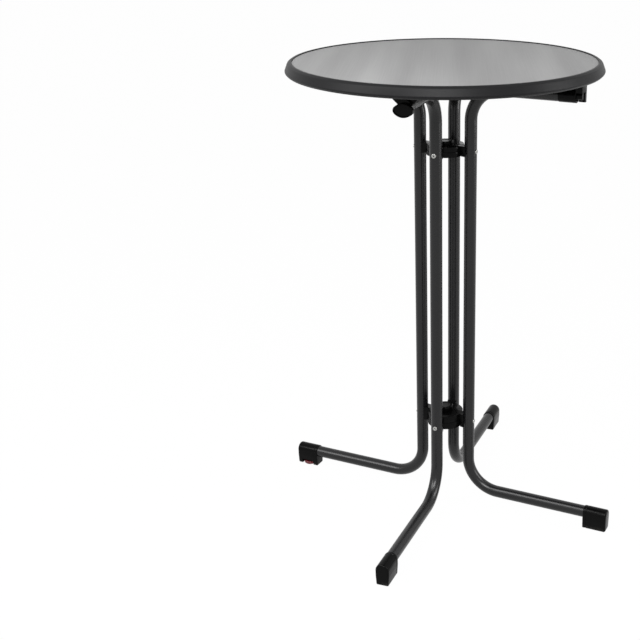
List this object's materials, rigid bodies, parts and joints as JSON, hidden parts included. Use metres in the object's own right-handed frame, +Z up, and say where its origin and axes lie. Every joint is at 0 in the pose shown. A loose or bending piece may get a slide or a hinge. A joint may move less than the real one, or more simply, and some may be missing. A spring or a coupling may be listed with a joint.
{
  "type": "folding cocktail table",
  "caption": "Tall round cocktail table: laminate top with moulded rim resting on bent tube legs that scissor together about a central pivot, one foot with a levelling wheel.",
  "frame": {"origin": "centre of the four feet on the floor, under the table's vertical axis", "axes": "+Z up, +X along the right leg's arm and foot, so -Y is the side of the front leg"},
  "size_m": [0.856, 0.855, 1.0955],
  "materials": {
    "powder_coat": "semi-gloss anthracite powder coat",
    "black_plastic": "moulded, satin",
    "red_plastic": "moulded, satin",
    "zinc": "zinc plated",
    "nylon": "natural nylon",
    "board": "pressed fibre board",
    "laminate": "light grey satin laminate",
    "rim_plastic": "anthracite moulded edging"
  },
  "bodies": {
    "frame": {"leg_front": "powder_coat", "leg_back": "powder_coat", "foot_cap_front": "black_plastic", "foot_cap_back": "black_plastic", "upper_hub_fixed": "black_plastic", "lower_hub_fixed": "black_plastic", "upper_pivot_bolt": "zinc", "upper_pivot_nut": "zinc", "upper_pivot_washer": "nylon", "lower_pivot_bolt": "zinc", "lower_pivot_nut": "zinc", "lower_pivot_washer": "nylon", "fixed_leg_screws": "zinc", "arm_cap_front": "black_plastic", "arm_cap_back": "black_plastic"},
    "cross_frame": {"leg_left": "powder_coat", "leg_right": "powder_coat", "foot_cap_left": "black_plastic", "foot_cap_right": "black_plastic", "upper_hub_swing": "black_plastic", "lower_hub_swing": "black_plastic", "upper_pivot_cover": "black_plastic", "lower_pivot_cover": "black_plastic", "swing_leg_screws": "zinc", "arm_plug_left": "black_plastic", "arm_plug_right": "black_plastic"},
    "top": {"top_board": "board", "top_laminate": "laminate", "rim_edging": "rim_plastic", "saddle_front": "black_plastic", "saddle_back": "black_plastic", "catch_left": "black_plastic", "catch_right": "black_plastic", "bracket_screws": "zinc"},
    "level_stud": {"level_stud": "zinc"},
    "level_wheel": {"level_wheel": "red_plastic"}
  },
  "joints": [
    {"name": "frame_fold", "type": "hinge", "parent": "frame", "child": "cross_frame", "pos_m": [0, 0, 0.225], "axis": [0, 0, -1], "range_deg": [0, 57]},
    {"name": "top_lift", "type": "slide", "parent": "frame", "child": "top", "axis": [0, 0, 1], "range_m": [0, 0.12]},
    {"name": "stud_rise", "type": "slide", "parent": "cross_frame", "child": "level_stud", "axis": [0, 0, 1], "range_m": [0, 0.0045]},
    {"name": "wheel_turn", "type": "hinge", "parent": "level_stud", "child": "level_wheel", "pos_m": [-0.399, 0, 0.0035], "axis": [0, 0, 1], "range_deg": [0, 1100]}
  ],
  "couplings": [
    {"joint": "wheel_turn", "follows": "stud_rise", "rad_per_m": 4188.8}
  ]
}
